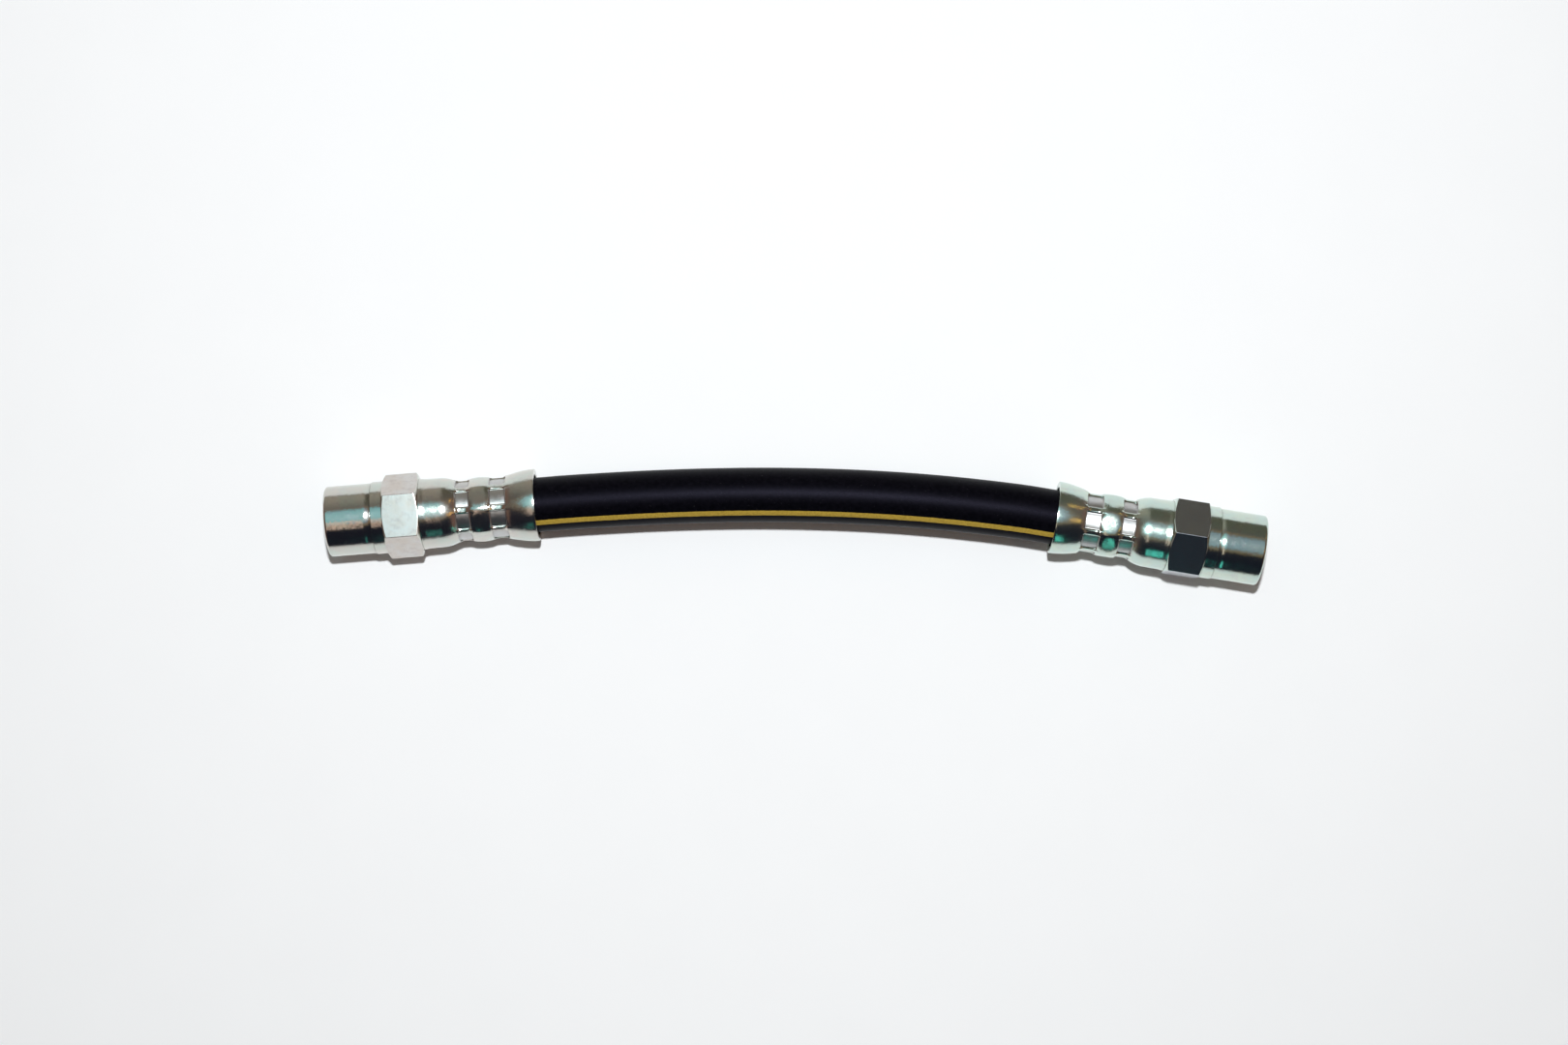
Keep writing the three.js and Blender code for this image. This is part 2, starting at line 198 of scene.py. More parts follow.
def hose_ply(name, node, finish, inner_gap=PLY_GAP, outer_gap=PLY_GAP, sides=PLY_SIDES):
    """One ply's tube, between its two places in the wall. Its uv map is in millimetres, round the
    ply from the top towards +Y and along the hose."""
    inner_share, outer_share = (depth / WHOLE_WALL for depth in WALL_DEPTHS[node])
    stations = hose_stations()
    outside, inside = [], []
    for distance in stations:
        centre, direction = along_hose(distance)
        side = Vector((0, 0, 1)).cross(direction).normalized()
        up = direction.cross(side)
        inner, outer = hose_radii(distance)
        outer_radius = inner + (outer - inner) * outer_share - outer_gap
        inner_radius = inner + (outer - inner) * inner_share + inner_gap
        for radius, ring in ((outer_radius, outside), (inner_radius, inside)):
            for j in range(sides):
                angle = 2 * math.pi * j / sides
                ring.append(centre + side * radius * math.sin(angle) + up * radius * math.cos(angle))
    rings = len(stations)
    vertices = outside + inside
    starts = [i * sides for i in range(rings)]
    starts += [(2 * rings - 1 - i) * sides for i in range(rings)]
    starts.append(0)
    faces = ring_faces(starts, sides)
    distances = np.concatenate([stations, stations[::-1], stations[:1]]) / MM
    girth = 2 * math.pi * HOSE_RADIUS / MM
    uvs = []
    for here, there in zip(distances, distances[1:]):
        for j in range(sides):
            low = girth * j / sides
            high = girth * (j + 1) / sides
            uvs += [(low, here), (low, there), (high, there), (high, here)]
    piece = mesh_piece(name, vertices, faces, uvs)
    piece.data.set_sharp_from_angle(angle=math.radians(PLY_CRISP_ANGLE))
    piece.data.materials.append(finish)
    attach(piece, "root")
    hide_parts(node)
    return piece


class NodeTree:
    """A node tree under construction, with short calls for the nodes that are used most."""

    def __init__(self, tree):
        self.nodes = tree.nodes
        self.links = tree.links

    def link(self, source, target):
        self.links.new(source, target)

    def feed(self, value, socket):
        """A number or a colour is set on the socket, and a node's output is linked to it."""
        if isinstance(value, (int, float)):
            socket.default_value = value
        elif isinstance(value, tuple):
            socket.default_value = (*value, 1)
        else:
            self.link(value, socket)

    def ramp(self, value, *stops):
        """Colours or greys over a value: each stop is a position and a colour."""
        node = self.nodes.new("ShaderNodeValToRGB")
        elements = node.color_ramp.elements
        while len(elements) < len(stops):
            elements.new(0.5)
        for element, (position, colour) in zip(elements, stops):
            element.position = position
            if isinstance(colour, (int, float)):
                colour = (colour, colour, colour)
            element.color = (*colour, 1)
        self.link(value, node.inputs["Fac"])
        return node.outputs["Color"]

    def mix(self, share, first, second, blend="MIX"):
        node = self.nodes.new("ShaderNodeMix")
        node.data_type = "RGBA"
        node.blend_type = blend
        self.feed(share, node.inputs[0])
        self.feed(first, node.inputs[6])
        self.feed(second, node.inputs[7])
        return node.outputs[2]

    def math(self, operation, first, second=0.0):
        node = self.nodes.new("ShaderNodeMath")
        node.operation = operation
        self.feed(first, node.inputs[0])
        self.feed(second, node.inputs[1])
        return node.outputs[0]

    def vector_math(self, operation, first, second=None):
        """A vector node over one vector or two. The second may also be plain numbers."""
        node = self.nodes.new("ShaderNodeVectorMath")
        node.operation = operation
        self.link(first, node.inputs[0])
        if isinstance(second, tuple):
            node.inputs[1].default_value = second
        elif second is not None:
            self.link(second, node.inputs[1])
        return node


class Finish(NodeTree):
    """A material under construction, on a Principled shader."""

    def __init__(self, name, roughness, metallic=0.0, specular=0.5):
        self.material = bpy.data.materials.new(name)
        self.material.use_nodes = True
        super().__init__(self.material.node_tree)
        self.shader = self.nodes["Principled BSDF"]
        self.shader.inputs["Roughness"].default_value = roughness
        self.shader.inputs["Metallic"].default_value = metallic
        self.shader.inputs["Specular IOR Level"].default_value = specular

    def place(self, scale=(1, 1, 1), uv=False):
        """Millimetres over the surface, from the uv map or from the object's own space."""
        if uv:
            source = self.nodes.new("ShaderNodeUVMap")
            source.uv_map = "surface_mm"
            output = source.outputs["UV"]
            unit = 1.0
        else:
            source = self.nodes.new("ShaderNodeTexCoord")
            output = source.outputs["Object"]
            unit = 1 / MM
        mapping = self.nodes.new("ShaderNodeMapping")
        mapping.inputs["Scale"].default_value = [s * unit for s in scale]
        self.link(output, mapping.inputs["Vector"])
        return mapping.outputs["Vector"]

    def noise(self, place, scale, detail=3.0, roughness=0.55):
        node = self.nodes.new("ShaderNodeTexNoise")
        node.inputs["Scale"].default_value = scale
        node.inputs["Detail"].default_value = detail
        node.inputs["Roughness"].default_value = roughness
        self.link(place, node.inputs["Vector"])
        return node.outputs["Fac"]

    def bump(self, height, distance_mm, strength=1.0, under=None):
        node = self.nodes.new("ShaderNodeBump")
        node.inputs["Strength"].default_value = strength
        node.inputs["Distance"].default_value = distance_mm * MM
        self.link(height, node.inputs["Height"])
        if under is not None:
            self.link(under, node.inputs["Normal"])
        return node.outputs["Normal"]

    def crevices(self, reach):
        """1 on open faces, and less in narrow corners no wider than the reach."""
        node = self.nodes.new("ShaderNodeAmbientOcclusion")
        node.samples = 6
        node.inputs["Distance"].default_value = reach
        return node.outputs["AO"]

    def facets(self, place, scale, tilt, under):
        """Small flat crystals, each leaning its own way by up to the given tilt."""
        cells = self.nodes.new("ShaderNodeTexVoronoi")
        cells.inputs["Scale"].default_value = scale
        self.link(place, cells.inputs["Vector"])
        lean = self.vector_math("SUBTRACT", cells.outputs["Color"], (0.5, 0.5, 0.5))
        amount = self.vector_math("SCALE", lean.outputs["Vector"])
        self.link(tilt, amount.inputs["Scale"])
        total = self.vector_math("ADD", under, amount.outputs["Vector"])
        return self.vector_math("NORMALIZE", total.outputs["Vector"]).outputs["Vector"]

    def colour(self, source):
        self.link(source, self.shader.inputs["Base Color"])

    def rough(self, source):
        self.link(source, self.shader.inputs["Roughness"])

    def surface(self, normal):
        self.link(normal, self.shader.inputs["Normal"])


LINER_BLACK = (0.018, 0.018, 0.021)
CUSHION_BLACK = (0.022, 0.021, 0.021)
YARN_CREAM = (0.62, 0.57, 0.42)
YARN_SHADOW = (0.05, 0.045, 0.035)
YARN_TURN = 36


def rubber_finish(name, tone, roughness):
    """Cured black rubber, with a fine grain and a little bloom on it."""
    finish = Finish(name, roughness)
    place = finish.place()
    bloom = finish.noise(place, 0.6, detail=4.0)
    finish.colour(finish.ramp(bloom, (0.35, tone), (0.7, tuple(c * 1.7 for c in tone))))
    grain = finish.noise(place, 7.0, detail=4.0, roughness=0.65)
    finish.rough(finish.ramp(grain, (0.3, roughness - 0.08), (0.7, roughness + 0.1)))
    finish.surface(finish.bump(grain, 0.02, 0.5))
    return finish.material


def braid_finish(name):
    """Cream yarn in a two-over-two-under braid, at 54 degrees to the hose, with rubber between."""
    finish = Finish(name, 0.8)
    finish.shader.inputs["Sheen Weight"].default_value = 0.25
    height = None
    for slope in (1.0, -1.0):
        place = finish.place(uv=True)
        turned = finish.nodes.new("ShaderNodeVectorRotate")
        turned.rotation_type = "Z_AXIS"
        turned.inputs["Angle"].default_value = math.radians(YARN_TURN * slope)
        finish.link(place, turned.inputs["Vector"])
        yarn = finish.nodes.new("ShaderNodeTexWave")
        yarn.wave_type = "BANDS"
        yarn.bands_direction = "X"
        yarn.inputs["Scale"].default_value = 0.32
        yarn.inputs["Distortion"].default_value = 0.4
        yarn.inputs["Detail"].default_value = 2.0
        finish.link(turned.outputs["Vector"], yarn.inputs["Vector"])
        band = yarn.outputs["Fac"]
        height = band if height is None else finish.math("MAXIMUM", height, band)
    fuzz = finish.noise(finish.place(), 9.0, detail=5.0)
    shade = finish.math("MULTIPLY", height, finish.math("ADD", fuzz, 0.45))
    finish.colour(finish.ramp(shade, (0.2, YARN_SHADOW), (0.55, YARN_CREAM)))
    finish.surface(finish.bump(shade, 0.12, 0.7))
    return finish.material


liner_rubber = rubber_finish("liner_rubber", LINER_BLACK, 0.5)
cushion_rubber = rubber_finish("cushion_rubber", CUSHION_BLACK, 0.62)
braid_yarn = braid_finish("braid_yarn")

liner = hose_ply("liner_tube", "hose_liner", liner_rubber, inner_gap=0.0)
inner_braid = hose_ply("inner_braid_sleeve", "inner_braid", braid_yarn)
cushion = hose_ply("cushion_tube", "cushion_layer", cushion_rubber)
outer_braid = hose_ply("outer_braid_sleeve", "outer_braid", braid_yarn)

# Hose cover
# The outer rubber is extruded over the braids and cured, black with a soft sheen. A thin yellow
# line is laid into it along its length, so that a hose that has been fitted with a twist shows.
COVER_SIDES = 96
STRIPE_ANGLE = 318.0
STRIPE_WIDTH = 1.2
STRIPE_WAVER = 0.16
STRIPE_YELLOW = (0.52, 0.35, 0.055)
COVER_BLACK = (0.0010, 0.0010, 0.0018)
COVER_BLOOM = (0.0035, 0.0032, 0.0052)
COVER_SPECKS = (0.10, 0.095, 0.10)
COVER_GLOSS = 0.055
COVER_GLOSS_TINT = (0.70, 0.66, 1.0, 1.0)
COVER_ROUGHNESS = 0.42


def cover_finish():
    finish = Finish("cover_rubber", COVER_ROUGHNESS, specular=COVER_GLOSS)
    finish.shader.inputs["Specular Tint"].default_value = COVER_GLOSS_TINT
    girth = 2 * math.pi * HOSE_RADIUS / MM
    surface = finish.place(uv=True)
    body = finish.place()
    split = finish.nodes.new("ShaderNodeSeparateXYZ")
    finish.link(surface, split.inputs["Vector"])
    waver = finish.math("SUBTRACT", finish.noise(body, 0.9), 0.5)
    waver = finish.math("MULTIPLY", waver, STRIPE_WAVER)
    off_stripe = finish.math("SUBTRACT", split.outputs["X"], girth * STRIPE_ANGLE / 360)
    off_stripe = finish.math("ABSOLUTE", finish.math("ADD", off_stripe, waver))
    stripe = finish.math("LESS_THAN", off_stripe, STRIPE_WIDTH / 2)
    bloom = finish.noise(body, 1.3, detail=5.0, roughness=0.6)
    rubber = finish.ramp(bloom, (0.4, COVER_BLACK), (0.75, COVER_BLOOM))
    specks = finish.ramp(finish.noise(body, 5.5, detail=2.0), (0.73, 0.0), (0.78, 1.0))
    rubber = finish.mix(specks, rubber, COVER_SPECKS)
    worn = finish.noise(body, 3.0, detail=5.0, roughness=0.7)
    paint = finish.ramp(worn, (0.3, tuple(c * 0.6 for c in STRIPE_YELLOW)), (0.62, STRIPE_YELLOW))
    finish.colour(finish.mix(stripe, rubber, paint))
    grain = finish.noise(body, 4.0, detail=6.0, roughness=0.7)
    finish.rough(finish.ramp(grain, (0.3, COVER_ROUGHNESS - 0.05), (0.7, COVER_ROUGHNESS + 0.05)))
    relief = finish.bump(grain, 0.035, 0.55)
    finish.surface(finish.bump(stripe, 0.03, 0.4, under=relief))
    return finish.material


cover_rubber = cover_finish()
cover = hose_ply("cover_tube", "hose_cover", cover_rubber, outer_gap=0.0, sides=COVER_SIDES)

# Insert tubes
# A short steel tube, turned with sawtooth ribs, is pressed into each fitting's web. The liner
# is pushed over it, and the crimp squeezes the hose onto it.
FITTING_LENGTH = 40.2
INSERT_START = 16.1
INSERT_END = 37.2
INSERT_RADIUS = 1.9
INSERT_BORE_RADIUS = 1.2
INSERT_FOOT_CHAMFER = 0.1
INSERT_TIP_CHAMFER = 0.4
INSERT_RIBS = 6
RIBS_START = 20.0
RIB_DEPTH = 0.12
RIB_STEP = 0.03
INSERT_SIDES = 40
INSERT_CRISP_ANGLE = 30
STEEL_DARK = (0.42, 0.43, 0.44)
STEEL_BRIGHT = (0.60, 0.60, 0.60)


def fitting_frame(mouth_point, towards_hose):
    """The frame of a fitting: X along its axis to the hose, Z up, its origin at the port's face."""
    side = Vector((0, 0, 1)).cross(towards_hose).normalized()
    up = towards_hose.cross(side)
    place = Matrix((towards_hose, side, up)).transposed().to_4x4()
    place.translation = Vector(mouth_point) - towards_hose * FITTING_LENGTH * MM
    return place


left_frame = fitting_frame(HOSE_ROUTE[0], left_axis)
right_frame = fitting_frame(HOSE_ROUTE[-1], right_axis)


def turned_loop(profile, sides):
    """Vertices and faces of a ring-shaped turned body. Its closed profile is x and radius in mm."""
    vertices = []
    for x, radius in profile:
        for j in range(sides):
            angle = 2 * math.pi * j / sides
            vertices.append((x * MM, radius * math.sin(angle) * MM, radius * math.cos(angle) * MM))
    starts = [i * sides for i in range(len(profile))] + [0]
    return vertices, ring_faces(starts, sides)


def insert_profile():
    ribs_end = INSERT_END - INSERT_TIP_CHAMFER
    profile = [
        (INSERT_START, INSERT_BORE_RADIUS),
        (INSERT_START, INSERT_RADIUS - INSERT_FOOT_CHAMFER),
        (INSERT_START + INSERT_FOOT_CHAMFER, INSERT_RADIUS),
    ]
    for rib in range(INSERT_RIBS):
        start = RIBS_START + rib * (ribs_end - RIBS_START) / INSERT_RIBS
        profile.append((start - RIB_STEP, INSERT_RADIUS))
        profile.append((start, INSERT_RADIUS - RIB_DEPTH))
    profile.append((ribs_end, INSERT_RADIUS))
    profile.append((INSERT_END, INSERT_RADIUS - INSERT_TIP_CHAMFER))
    profile.append((INSERT_END, INSERT_BORE_RADIUS))
    return profile


def insert_finish():
    finish = Finish("insert_steel", 0.38, metallic=1.0)
    tool_marks = finish.noise(finish.place(), 6.0, detail=5.0)
    finish.colour(finish.ramp(tool_marks, (0.3, STEEL_DARK), (0.7, STEEL_BRIGHT)))
    finish.rough(finish.ramp(tool_marks, (0.3, 0.3), (0.7, 0.48)))
    finish.surface(finish.bump(tool_marks, 0.01, 0.5))
    return finish.material


insert_steel = insert_finish()
for side_name, place in (("left", left_frame), ("right", right_frame)):
    insert = mesh_piece(side_name + "_insert_tube", *turned_loop(insert_profile(), INSERT_SIDES))
    insert.data.transform(place)
    insert.data.set_sharp_from_angle(angle=math.radians(INSERT_CRISP_ANGLE))
    insert.data.materials.append(insert_steel)
    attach(insert, "root")
    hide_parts(side_name + "_insert")

# Fittings
# Each fitting is turned from 14 mm hexagon bar: a plain nose with an M10 x 1 port, a narrow
# collar, the hexagon, and a thin shell. It is zinc plated and passivated, and eight jaws then
# crimp the shell onto the hose in two rows of dents, with a ridge between one jaw and the next.
NOSE_RADIUS = 6.75
NOSE_LENGTH = 8.9
NOSE_ROUNDING = 0.5
ROUNDING_STEPS = 6
NOSE_RELIEF = 0.05
COLLAR_RADIUS = 6.95
COLLAR_CHAMFER = 0.13
HEX_START = 11.1
HEX_APOTHEM = 7.0
HEX_CORNER_ROUNDING = 0.15
CHAMFER_FOOT = 6.96
CHAMFER_SLOPE = math.tan(math.radians(25))
EDGE_BEVEL = 0.05
SHELL_START = 18.1
BULGE_START = 19.3
BULGE_END = 22.0
FIRST_ROW = (24.95, 27.7)
SECOND_ROW = (31.5, 34.7)
SHELL_WALL = 1.1
ROOT_RADIUS = 6.82
BULGE_RADIUS = 6.70
BULGE_TAPER = 0.04
ROW_EDGE_RADIUS = 5.95
BAND_RADIUS = 6.2
FLARE_START_RADIUS = 6.1
MOUTH_RADIUS = 6.95
FIRST_DENT_RADIUS = 5.45
SECOND_DENT_RADIUS = 5.50
DENT_FLATNESS = 0.35
RIDGE_RADII = (5.73, 5.78)
LIP_DEPTH = 0.08
LIP_WIDTH = 0.45
DENT_STEP = 0.2
RIDGE_STEP = 0.7
JAWS = 8
HALF_DENT = 16.0
HALF_RIDGE = 3.5
PILLOW_DEPTH = 0.24

# How far the jaws differ: in place along the shell, in depth, and in tilt round and along it
JAW_SPREAD = (0.03, 0.03, 0.035, 0.012)
JAW_SPREAD_LIMIT = 0.06

PORT_RADIUS = 4.459
PORT_DEPTH = 12.0
PORT_CHAMFER = 0.8
THREAD_PITCH = 1.0
THREAD_DEPTH = 0.54
THREAD_FLANK = 2.7
THREAD_CREST = 0.25
THREAD_START = 11.7
THREAD_RUN_OUT = (9.8, 10.8)
RINGS_A_PITCH = 12
SEAT_SLOPE = math.tan(math.radians(59))
DRILLING_RADIUS = 1.5
SOCKET_RADIUS = 2.0
SOCKET_START = 16.0
SHELL_FLOOR = 18.6

FITTING_CRISP_ANGLE = 38
PRESSED_ZINC = ((0.50, 0.49, 0.475), (0.55, 0.56, 0.56))
TURNED_SMUDGE = (0.52, 0.48, 0.50)
FLATS_SMUDGE = (0.43, 0.38, 0.37)
# Painted shade: the dark colour put into narrow corners, and how far from a wall it reaches
CREVICE_PAINTED_SHADE = (0.16, 0.13, 0.11)
CREVICE_REACH = 0.5 * MM

# Each end's place, the turn of its hexagon and of its jaws in degrees, the seed of its jaws'
# wear, and its tints: the left one is olive and copper, and the right one teal and blue
FITTINGS = {
    "left": {
        "place": left_frame,
        "hexagon": 30.0,
        "crimp": -22.0,
        "wear": 11,
        "zinc": ((0.61, 0.59, 0.54), (0.56, 0.61, 0.56)),
        "flats": ((0.58, 0.53, 0.485), (0.61, 0.595, 0.575)),
    },
    "right": {
        "place": right_frame,
        "hexagon": -5.0,
        "crimp": -4.0,
        "wear": 12,
        "zinc": ((0.55, 0.68, 0.63), (0.60, 0.69, 0.60)),
        "flats": ((0.47, 0.50, 0.56), (0.50, 0.53, 0.57)),
    },
}


def mirrored(half_angles, last):
    """Angles over one whole pitch, from its middle outwards to both sides."""
    return [-a for a in reversed(half_angles)] + [0.0] + list(half_angles) + [last]


def hexagon_angles(turn):
    """Angles round the hexagon, close together at its corners, in degrees from the top."""
    near_corner = [0.18, 0.36, 0.54, 0.75, 1.1, 1.8, 3.0]
    over_flat = list(np.linspace(4.4, 28.3, 16))
    pitch = mirrored(near_corner + over_flat, 30.0)
    return np.array([turn + 60 * corner + a for corner in range(6) for a in pitch])


def jaw_angles(turn):
    """Angles round the crimp, close together at the edges of its dents."""
    half = [2.5, 5.0, 7.5, 10.0, 12.0, 13.5, 14.7, 15.5, 16.1, 16.7, 17.4, 18.1, 18.7, 19.3]
    pitch = mirrored(half + [20.2, 21.3, 22.0], 180 / JAWS)
    return np.array([turn + 360 / JAWS * jaw + a for jaw in range(JAWS) for a in pitch])


def between(value, low, high):
    """The share of the way from low to high, from 0 to 1."""
    return np.clip((value - low) / (high - low), 0.0, 1.0)


def ease(value, low, high):
    """0 below low, 1 above high, and a smooth step between."""
    share = between(value, low, high)
    return share * share * (3 - 2 * share)


def hexagon_radius(angles, turn):
    """The hexagon's outside square to its axis, with rounded corners."""
    half_side = math.radians(30)
    off_corner = np.radians(np.abs((angles - turn + 30) % 60 - 30))
    flat = HEX_APOTHEM / np.cos(half_side - off_corner)
    centre = (HEX_APOTHEM - HEX_CORNER_ROUNDING) / math.cos(half_side)
    reach = HEX_CORNER_ROUNDING**2 - (centre * np.sin(off_corner)) ** 2
    rounded = centre * np.cos(off_corner) + np.sqrt(np.maximum(reach, 0))
    touch_across = HEX_CORNER_ROUNDING * math.sin(half_side)
    touch = math.atan(touch_across / (centre + HEX_CORNER_ROUNDING * math.cos(half_side)))
    return np.where(off_corner < touch, rounded, flat)


def wall_radius(x):
    """The shell's outside where no jaw has pressed it, along the fitting's axis."""
    bulge = ROOT_RADIUS + (BULGE_RADIUS - ROOT_RADIUS) * ease(x, SHELL_START, BULGE_START)
    bulge = bulge - BULGE_TAPER * ease(x, BULGE_START, BULGE_END)
    fall = 1 - np.cos(between(x, BULGE_END, FIRST_ROW[0]) * math.pi / 2)
    bulge = bulge - (BULGE_RADIUS - BULGE_TAPER - ROW_EDGE_RADIUS) * fall
    swell = np.sin(between(x, FIRST_ROW[1], SECOND_ROW[0]) * math.pi) ** 0.6
    band = ROW_EDGE_RADIUS + (BAND_RADIUS - ROW_EDGE_RADIUS) * swell
    spring = np.sin(between(x, SECOND_ROW[1], FITTING_LENGTH) * math.pi / 2)
    flare = FLARE_START_RADIUS + (MOUTH_RADIUS - FLARE_START_RADIUS) * spring
    in_first_row = (FIRST_ROW[0] + FIRST_ROW[1]) / 2
    in_second_row = (SECOND_ROW[0] + SECOND_ROW[1]) / 2
    return np.where(x < in_first_row, bulge, np.where(x < in_second_row, band, flare))


def shell_radius(x, angles, turn, spread):
    """The crimped shell's outside. Each jaw's place, depth and tilts differ a little from the
    next one's, by the numbers in spread."""
    pitch = 360 / JAWS
    jaw = np.floor((angles - turn) / pitch + 0.5).astype(int) % JAWS
    off_dent = (angles - turn + pitch / 2) % pitch - pitch / 2
    in_dent = 1 - ease(np.abs(off_dent), HALF_DENT - 0.5, pitch / 2 - HALF_RIDGE)
    radius = wall_radius(x)
    dent_radii = (FIRST_DENT_RADIUS, SECOND_DENT_RADIUS)
    rows = zip((FIRST_ROW, SECOND_ROW), dent_radii, RIDGE_RADII)
    for row, ((start, end), dent_radius, ridge_radius) in enumerate(rows):
        step = DENT_STEP + (RIDGE_STEP - DENT_STEP) * (1 - in_dent)
        shift = spread[jaw, row, 0]
        rise = ease(x, start + shift - 0.02, start + shift + step)
        in_row = rise * (1 - ease(x, end + shift - step, end + shift + 0.02))
        floor = dent_radius / np.cos(np.radians(off_dent * DENT_FLATNESS))
        floor = floor + spread[jaw, row, 1] + spread[jaw, row, 2] * off_dent / HALF_DENT
        floor = floor + spread[jaw, row, 3] * (x - (start + end) / 2)
        pressed = ridge_radius + (floor - ridge_radius) * in_dent
        radius = radius + (pressed - radius) * in_row
        lip = np.exp(-(((x - start) / LIP_WIDTH) ** 2)) + np.exp(-(((x - end) / LIP_WIDTH) ** 2))
        radius = radius - LIP_DEPTH * lip * in_dent * (1 - in_row)
    across_band = np.sin(between(x, FIRST_ROW[1], SECOND_ROW[0]) * math.pi) ** 0.7
    pillow = (0.5 + 0.5 * np.cos(np.radians(off_dent * JAWS))) ** 0.75
    return radius - PILLOW_DEPTH * across_band * pillow


def fitting_rings(hex_turn, crimp_turn, spread):
    """The fitting's whole skin as rings, from the port's mouth over the outside and back in
    through the bore. A ring is its stations, radii and angles."""
    over_hexagon = hexagon_angles(hex_turn)
    over_jaws = jaw_angles(crimp_turn)
    # The jaws' angles are counted from where they run closest to the hexagon's
    shifts = [np.abs(np.roll(over_jaws, k) % 360 - over_hexagon % 360) for k in range(len(over_jaws))]
    shifts = [np.minimum(shift, 360 - shift).max() for shift in shifts]
    over_jaws = np.roll(over_jaws, int(np.argmin(shifts)))
    over_jaws = over_hexagon + (over_jaws - over_hexagon + 180) % 360 - 180
    even = np.ones(len(over_hexagon))
    rings = []

    def plain(x, radius, angles=over_hexagon):
        rings.append((even * x, even * radius, angles))

    nose_edge = NOSE_RADIUS - NOSE_ROUNDING
    plain(0.0, PORT_RADIUS + PORT_CHAMFER + 0.04)
    plain(0.0, (PORT_RADIUS + PORT_CHAMFER + nose_edge) / 2)
    for step in range(ROUNDING_STEPS + 1):
        bend = math.radians(90 * step / ROUNDING_STEPS)
        plain(NOSE_ROUNDING * (1 - math.cos(bend)), nose_edge + NOSE_ROUNDING * math.sin(bend))
    for x in (NOSE_ROUNDING + 0.1, NOSE_LENGTH - 1.48, NOSE_LENGTH - 0.12):
        plain(x, NOSE_RADIUS)
    plain(NOSE_LENGTH - 0.04, NOSE_RADIUS - NOSE_RELIEF)
    plain(NOSE_LENGTH + 0.02, NOSE_RADIUS - NOSE_RELIEF)
    plain(NOSE_LENGTH + 0.03, COLLAR_RADIUS - COLLAR_CHAMFER)
    for x in (NOSE_LENGTH + 0.14, NOSE_LENGTH + 0.25, HEX_START - 0.12):
        plain(x, COLLAR_RADIUS)
    plain(HEX_START, COLLAR_RADIUS)
    plain(HEX_START + 0.004, CHAMFER_FOOT)

    hexagon = hexagon_radius(over_hexagon, hex_turn)
    rise = hexagon - CHAMFER_FOOT
    edge = rise * CHAMFER_SLOPE
    before = rise - np.minimum(EDGE_BEVEL, rise * 0.4)
    left_half = [(HEX_START + before * CHAMFER_SLOPE, CHAMFER_FOOT + before)]
    for past in (EDGE_BEVEL, EDGE_BEVEL * 3):
        left_half.append((HEX_START + edge + past, hexagon))
    for x, radius in left_half:
        rings.append((x, radius, over_hexagon))
    for x, radius in reversed(left_half):
        rings.append((HEX_START + SHELL_START - x, radius, over_hexagon))
    plain(SHELL_START - 0.004, CHAMFER_FOOT)
    plain(SHELL_START, ROOT_RADIUS)

    spans = [
        (SHELL_START + 0.1, BULGE_END, 16),
        (BULGE_END + 0.25, FIRST_ROW[0] - 0.25, 11),
        (FIRST_ROW[0] - 0.15, FIRST_ROW[0] + 0.42, 13),
        (FIRST_ROW[0] + 0.6, FIRST_ROW[1] - 0.6, 5),
        (FIRST_ROW[1] - 0.42, FIRST_ROW[1] + 0.25, 14),
        (FIRST_ROW[1] + 0.4, SECOND_ROW[0] - 0.4, 13),
        (SECOND_ROW[0] - 0.25, SECOND_ROW[0] + 0.42, 14),
        (SECOND_ROW[0] + 0.6, SECOND_ROW[1] - 0.6, 5),
        (SECOND_ROW[1] - 0.42, SECOND_ROW[1] + 0.15, 13),
        (SECOND_ROW[1] + 0.3, FITTING_LENGTH - 0.14, 20),
    ]
    for x in np.concatenate([np.linspace(*span) for span in spans]):
        share = float(ease(x, SHELL_START + 0.3, BULGE_END + 0.5))
        angles = over_hexagon + (over_jaws - over_hexagon) * share
        rings.append((even * x, shell_radius(even * x, angles, crimp_turn, spread), angles))
    plain(FITTING_LENGTH - 0.04, MOUTH_RADIUS - 0.02, over_jaws)
    plain(FITTING_LENGTH, MOUTH_RADIUS - 0.1, over_jaws)
    plain(FITTING_LENGTH, MOUTH_RADIUS - SHELL_WALL + 0.13, over_jaws)
    plain(FITTING_LENGTH - 0.12, MOUTH_RADIUS - SHELL_WALL, over_jaws)
    for x in np.arange(FITTING_LENGTH - 0.8, SHELL_FLOOR + 0.4, -0.45):
        wall = shell_radius(even * x, over_jaws, crimp_turn, spread).min() - SHELL_WALL + 0.08
        plain(x, wall, over_jaws)
    plain(SHELL_FLOOR, BULGE_RADIUS - SHELL_WALL, over_jaws)

